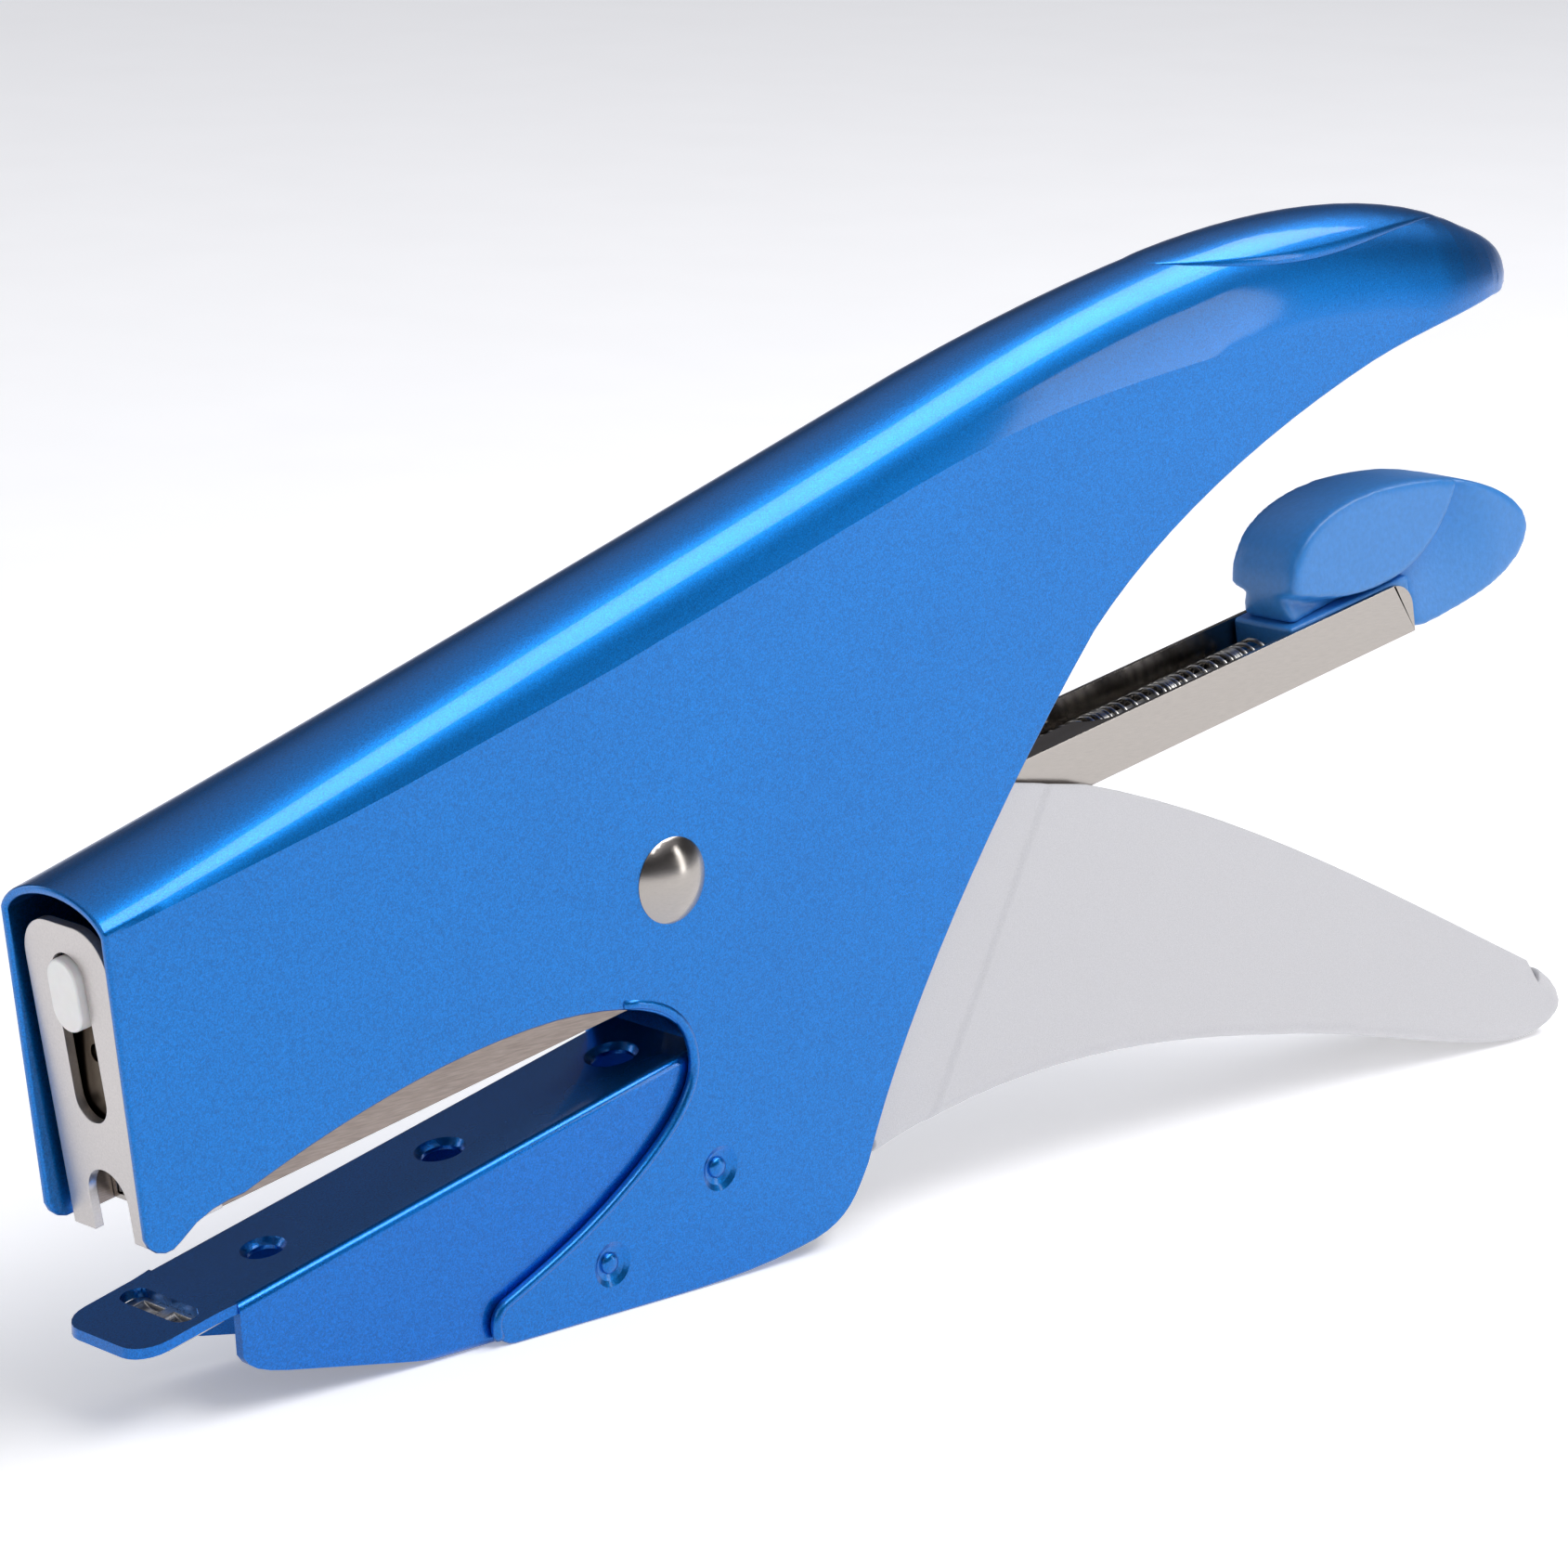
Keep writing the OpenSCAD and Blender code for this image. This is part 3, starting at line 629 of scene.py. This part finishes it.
def add_joggle(bm):
    """The handle is wider behind a slanted step, where it comes out of the shell."""
    start = side(JOGGLE_START[0], 0, JOGGLE_START[1])
    line = side(JOGGLE_END[0], 0, JOGGLE_END[1]) - start
    across = Vector((line.z, 0, -line.x)).normalized()
    steps = 4
    for i in range(steps + 1):
        bmesh.ops.bisect_plane(bm, geom=bm.verts[:] + bm.edges[:] + bm.faces[:],
                               plane_co=start + across * JOGGLE_WIDTH * MM * i / steps,
                               plane_no=across, dist=1e-6)
    for v in bm.verts:
        t = (v.co - start).dot(across) / (JOGGLE_WIDTH * MM)
        share = min(abs(v.co.y) / (4 * MM), 1.0)
        v.co.y += math.copysign(JOGGLE_STEP * MM * smooth(t) * share, v.co.y)


def make_lower_handle(mats):
    """The grey squeeze lever."""
    obj = as_object(handle_surface(), "squeeze_handle", mats["handle_grey"])
    obj.data.shade_smooth()
    modify(obj, "SOLIDIFY", thickness=HANDLE_SHEET * MM, offset=-1, use_even_offset=True,
           use_quality_normals=True)
    modify(obj, "BEVEL", width=0.25 * MM, segments=3, limit_method="ANGLE",
           angle_limit=math.radians(50), use_clamp_overlap=False)
    modify(obj, "WEIGHTED_NORMAL", keep_sharp=True, weight=FACE_WEIGHT)
    apply_modifiers(obj)
    place(obj, "lever", "handle_grey", "lower_handle")


# ---- Loading knob ----

GRIP = ([(111, -5.85), (93, -5.85)]
        + curve((93, -5.85), (91, 0), (93.5, 6.2), (107, 5.3), 10)
        + curve((107, 5.3), (119.6, 4.3), (132.7, -2.1), (131.1, -6.9), 12)
        + curve((131.1, -6.9), (129.7, -11.1), (121.8, -12), (113.1, -12.4), 8)
        + [(111, -11.7)])

SCOOP_START = Vector((108.5, -5.0))
SCOOP_END = Vector((118.5, 0.7))
SCOOP_DEPTH = 2.1

BLOCK_FACES = ((0, 1, 3, 2), (4, 6, 7, 5), (0, 4, 5, 1),
               (2, 3, 7, 6), (0, 2, 6, 4), (1, 5, 7, 3))


def scoop(u, w):
    """Depth of the hollow behind the slanted step in the knob's sides. It runs out at the rear lip."""
    line = SCOOP_END - SCOOP_START
    point = Vector((u, w)) - SCOOP_START
    ahead = point.dot(line) / line.length_squared
    below = (point.x * line.y - point.y * line.x) / line.length
    below += 1.2 * (2 * ahead - 1) ** 2 - 1.2
    rise = max(1 - below / 12.0, 0.0) ** 1.3
    return SCOOP_DEPTH * smooth(below / 1.2) * rise * (1 - smooth((ahead - 0.9) / 0.8))


def make_knob(mats):
    """The blue loading knob: a pinched grip with a flared rear lip, a foot and a tab."""
    bm = bmesh.new()
    shrink = 0.35
    rims = []
    for y in (-GRIP_HALF + shrink, GRIP_HALF - shrink):
        rims.append([bm.verts.new(along(u, y, w)) for u, w in GRIP])
    bm.faces.new(rims[0])
    bm.faces.new(rims[1])
    count = len(GRIP)
    for i in range(count):
        j = (i + 1) % count
        bm.faces.new((rims[0][i], rims[0][j], rims[1][j], rims[1][i]))
    bmesh.ops.recalc_face_normals(bm, faces=bm.faces)
    obj = as_object(bm, "loading_grip", mats["grip_blue"])
    modify(obj, "REMESH", mode="VOXEL", voxel_size=0.42 * MM, use_smooth_shade=True)
    modify(obj, "SMOOTH", factor=0.6, iterations=26)
    apply_modifiers(obj)
    for v in obj.data.vertices:
        u, w = from_along(v.co)
        reach = smooth((abs(v.co.y) / MM - 0.3) / (GRIP_HALF - 1.2))
        v.co.y -= math.copysign(scoop(u, w) * reach * MM, v.co.y)
    obj.data.shade_smooth()
    place(obj, "loader", "grip_blue", "loading_knob")
    make_knob_foot(mats)


def make_knob_foot(mats):
    """The block inside the channel that carries the knob, with its tab below."""
    foot_half = 4.15
    bm = bmesh.new()
    blocks = [((92, 111.2), foot_half, (-11.2, -5.7)), ((98, 104), 2.4, (-13.0, -11.1))]
    for (u0, u1), half, (w0, w1) in blocks:
        corners = [bm.verts.new(along(u, y, w))
                   for u in (u0, u1) for y in (-half, half) for w in (w0, w1)]
        for ids in BLOCK_FACES:
            bm.faces.new([corners[i] for i in ids])
    bmesh.ops.recalc_face_normals(bm, faces=bm.faces)
    obj = as_object(bm, "loading_foot", mats["grip_blue"])
    finish_edges(obj, 0.5, 3)
    place(obj, "loader", "grip_blue")


# ---- Springs and staples ----


def wire_tube(points, radius, name, material, sides=8):
    """A round wire along a list of points."""
    bm = bmesh.new()
    rings = []
    previous = None
    for i, p in enumerate(points):
        ahead = (points[min(i + 1, len(points) - 1)] - points[max(i - 1, 0)]).normalized()
        out = previous or ahead.orthogonal().normalized()
        out = (out - ahead * out.dot(ahead)).normalized()
        previous = out
        other = ahead.cross(out)
        ring = []
        for k in range(sides):
            a = 2 * math.pi * k / sides
            ring.append(bm.verts.new(p + (out * math.cos(a) + other * math.sin(a)) * radius * MM))
        rings.append(ring)
    for a, b in zip(rings, rings[1:]):
        for k in range(sides):
            j = (k + 1) % sides
            bm.faces.new((a[k], a[j], b[j], b[k]))
    bm.faces.new(list(reversed(rings[0])))
    bm.faces.new(rings[-1])
    bmesh.ops.recalc_face_normals(bm, faces=bm.faces)
    obj = as_object(bm, name, material)
    obj.data.shade_smooth()
    return obj


def make_pusher_spring(mats):
    """The long spring round the guide rod, its coils lying in groups."""
    start, end = 0.0, 91.6
    turns, per_turn = 96, 14
    radius, rod_w = 1.93, sum(w_band("guide_rod")) / 2
    groups, gather = 9, 0.8
    points = []
    for i in range(turns * per_turn + 1):
        t = i / (turns * per_turn)
        wave = gather * math.sin(2 * math.pi * groups * t) / (2 * math.pi * groups)
        u = start + (end - start) * (t + wave)
        a = 2 * math.pi * turns * t
        points.append(along(u, radius * math.cos(a), rod_w + radius * math.sin(a)))
    obj = wire_tube(points, 0.24, "feed_spring", mats["spring_wire"], 7)
    place(obj, "loader", "spring_wire", "pusher_spring")
    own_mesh(obj)


def make_clamp_spring(mats):
    """The upright spring between driver arm and magazine."""
    low, high = -5.6, 7.7
    centre_u, radius = -32, 1.7
    turns, per_turn = 8, 20
    points = []
    for i in range(turns * per_turn + 1):
        t = i / (turns * per_turn)
        a = 2 * math.pi * turns * t
        points.append(along(centre_u + radius * math.cos(a), radius * math.sin(a),
                            low + (high - low) * t))
    obj = wire_tube(points, 0.28, "holding_spring", mats["spring_wire"])
    place(obj, "magazine", "spring_wire", "clamp_spring")
    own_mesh(obj)


def make_return_spring(mats):
    """The torsion spring round the sleeve, with a leg to its pin and a leg to the arm."""
    radius, half = 4.1, 1.35
    pin_reach, arm_reach = 13.0, 9.3
    pin_angle = math.atan2(13, 5.9)
    arm_angle = math.pi + TILT + 2 * math.pi * 3
    steps = 90
    points = [side(pin_reach * math.cos(pin_angle), -half, pin_reach * math.sin(pin_angle))]
    for i in range(steps + 1):
        t = i / steps
        a = pin_angle + (arm_angle - pin_angle) * t
        points.append(side(radius * math.cos(a), -half + 2 * half * t, radius * math.sin(a)))
    points.append(side(arm_reach * math.cos(arm_angle), half, arm_reach * math.sin(arm_angle)))
    obj = wire_tube(points, 0.36, "opening_spring", mats["spring_wire"])
    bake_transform(obj)
    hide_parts("return_spring")


def make_staples(mats):
    """The glued strip, as single staples side by side."""
    low, high = w_band("staple_strip")
    half, wire = 4.3, 0.45
    pitch, gap = 0.52, 0.05
    first, length = -59.2, 49.7
    bm = bmesh.new()
    outline = [(-half, low), (-half, high), (half, high), (half, low),
               (half - wire, low), (half - wire, high - wire), (wire - half, high - wire),
               (wire - half, low)]
    for i in range(int(length / pitch)):
        u = first + i * pitch
        front = [bm.verts.new(along(u, y, w)) for y, w in outline]
        back = [bm.verts.new(along(u + pitch - gap, y, w)) for y, w in outline]
        bm.faces.new(front)
        bm.faces.new(list(reversed(back)))
        for k in range(len(outline)):
            j = (k + 1) % len(outline)
            bm.faces.new((front[k], back[k], back[j], front[j]))
    bmesh.ops.recalc_face_normals(bm, faces=bm.faces)
    obj = as_object(bm, "staples", mats["staples"])
    finish_edges(obj, 0.1, 1)
    place(obj, "magazine", "staples", "staple_strip")


# ---- Softened CAD pieces ----


def make_softened(mats):
    """Pieces that keep their CAD shape, with rounded edges and folds."""
    jaw_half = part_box("anvil_arm")[1].y / MM
    channel_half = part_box("magazine_channel")[1].y / MM
    softened("anvil_arm", "root", "jaw_paint", mats["jaw_paint"], 0.22,
             long_outer_edge(jaw_half, 20), 0.9, 3)
    lower_fold = long_outer_edge(channel_half, 100)
    softened("magazine_channel", "magazine", "nickel", mats["nickel"], 0.12, lower_fold, 0.9)
    softened("nose_plate", "magazine", "nose", mats["nose"], 0.16, segments=3)
    softened("magazine_holder", "magazine", "inner_frame", mats["inner_frame"], 0.14)
    softened("holder_bridge", "magazine", "inner_frame", mats["inner_frame"], 0.14)
    softened("driver_arm", "lever", "inner_frame", mats["inner_frame"], 0.3)
    softened("driver_blade", "lever", "dark_steel", mats["dark_steel"], 0.12)
    softened("driver_guide", "lever", "nylon", mats["nylon"], 0.45, segments=4)
    softened("main_rivet", "root", "nickel", mats["nickel"], 0.25, segments=3)
    softened("staple_rail", "magazine", "dark_steel", mats["dark_steel"], 0.1)
    softened("staple_pusher", "pusher", "dark_steel", mats["dark_steel"], 0.25)
    softened("guide_rod", "loader", "steel", mats["steel"], 0.15)
    softened("anvil_insert", "root", "steel", mats["steel"], 0.12)


def paint_cad_nodes(mats):
    """Gives the CAD nodes that stay their finishes."""
    for part in frame["record"]["subparts"]:
        node = frame["nodes"][part["node"]]
        node.data.materials.clear()
        node.data.materials.append(mats[part["material_slot"]])


# ---- Stage ----

MIDDLE = Vector((0, 0, 0.045))   # what the lights point at


def make_floor(mats):
    """A large pale floor."""
    reach = 6.0
    bm = bmesh.new()
    bm.faces.new([bm.verts.new((x, y, 0)) for x, y in
                  ((-reach, -reach), (reach, -reach), (reach, reach), (-reach, reach))])
    as_object(bm, "floor", mats["floor"])


def softbox(name, direction, distance, width, height, power, color=(1, 1, 1)):
    """A rectangular light that points at the object."""
    data = bpy.data.lights.new(name, "AREA")
    data.shape = "RECTANGLE"
    data.size = width
    data.size_y = height
    data.energy = power
    data.color = color
    obj = bpy.data.objects.new(name, data)
    bpy.context.scene.collection.objects.link(obj)
    back = Vector(direction).normalized()
    obj.location = MIDDLE + back * distance
    obj.rotation_mode = "QUATERNION"
    obj.rotation_quaternion = back.to_track_quat("Z", "X")


def make_world():
    """A soft room: bright above, dim around the horizon."""
    world = bpy.data.worlds.new("studio")
    world.use_nodes = True
    tree = world.node_tree
    coords = tree.nodes.new("ShaderNodeTexCoord")
    split = tree.nodes.new("ShaderNodeSeparateXYZ")
    ramp = tree.nodes.new("ShaderNodeValToRGB")
    tree.links.new(coords.outputs["Generated"], split.inputs["Vector"])
    tree.links.new(split.outputs["Z"], ramp.inputs["Fac"])
    tree.links.new(ramp.outputs["Color"], tree.nodes["Background"].inputs["Color"])
    stops = ramp.color_ramp.elements
    stops[0].position = 0.0
    stops[0].color = (0.5, 0.52, 0.58, 1)
    stops[1].position = 1.0
    stops[1].color = (0.7, 0.72, 0.75, 1)
    for height, shade in ((0.12, 0.1), (0.45, 0.05), (0.8, 0.45)):
        stop = stops.new(height)
        stop.color = (shade, shade, shade * 1.1, 1)
    tree.nodes["Background"].inputs["Strength"].default_value = 1.0
    bpy.context.scene.world = world


def make_lights():
    """Softboxes for the long highlight on the hood, the floor and the rims."""
    softbox("overhead", (0.33, -0.43, 0.84), 0.95, 0.34, 1.3, 7.5)
    softbox("front_fill", (-0.85, -0.2, 0.45), 1.3, 0.6, 0.6, 1.5)
    softbox("far_rim", (-0.55, 0.95, 0.25), 1.3, 0.8, 0.25, 1.5)
    softbox("near_low", (0.7, -0.75, 0.09), 1.2, 1.1, 0.18, 2.5)


def make_camera():
    """The camera, at the angle and distance of a product photograph."""
    data = bpy.data.cameras.new("camera")
    data.lens = 127.9
    data.sensor_width = 36
    data.clip_start = 0.01
    data.clip_end = 50
    obj = bpy.data.objects.new("camera", data)
    bpy.context.scene.collection.objects.link(obj)
    azimuth, elevation, roll = math.radians(-43.56), math.radians(13.54), math.radians(0.37)
    distance = 0.5448
    target = Vector((-13.3, 0, 45.92)) * MM
    level = math.cos(elevation)
    back = Vector((math.sin(azimuth) * level, -math.cos(azimuth) * level, math.sin(elevation)))
    obj.location = target + back * distance
    obj.rotation_mode = "QUATERNION"
    obj.rotation_quaternion = (-back).to_track_quat("-Z", "Y")
    obj.rotation_quaternion.rotate(Quaternion(back, roll))
    bpy.context.scene.camera = obj


def set_tones():
    """Plain display tones, so that the paint keeps its full colour."""
    view = bpy.context.scene.view_settings
    view.view_transform = "Standard"
    view.look = "None"
    view.exposure = 0.0


def main():
    mats = make_materials()
    paint_cad_nodes(mats)
    make_shell(mats)
    make_stud_heads(mats)
    make_thumb_pad(mats)
    make_throat_bead(mats)
    make_lower_handle(mats)
    make_knob(mats)
    make_pusher_spring(mats)
    make_clamp_spring(mats)
    make_return_spring(mats)
    make_staples(mats)
    make_softened(mats)
    make_floor(mats)
    make_world()
    make_lights()
    make_camera()
    set_tones()


main()
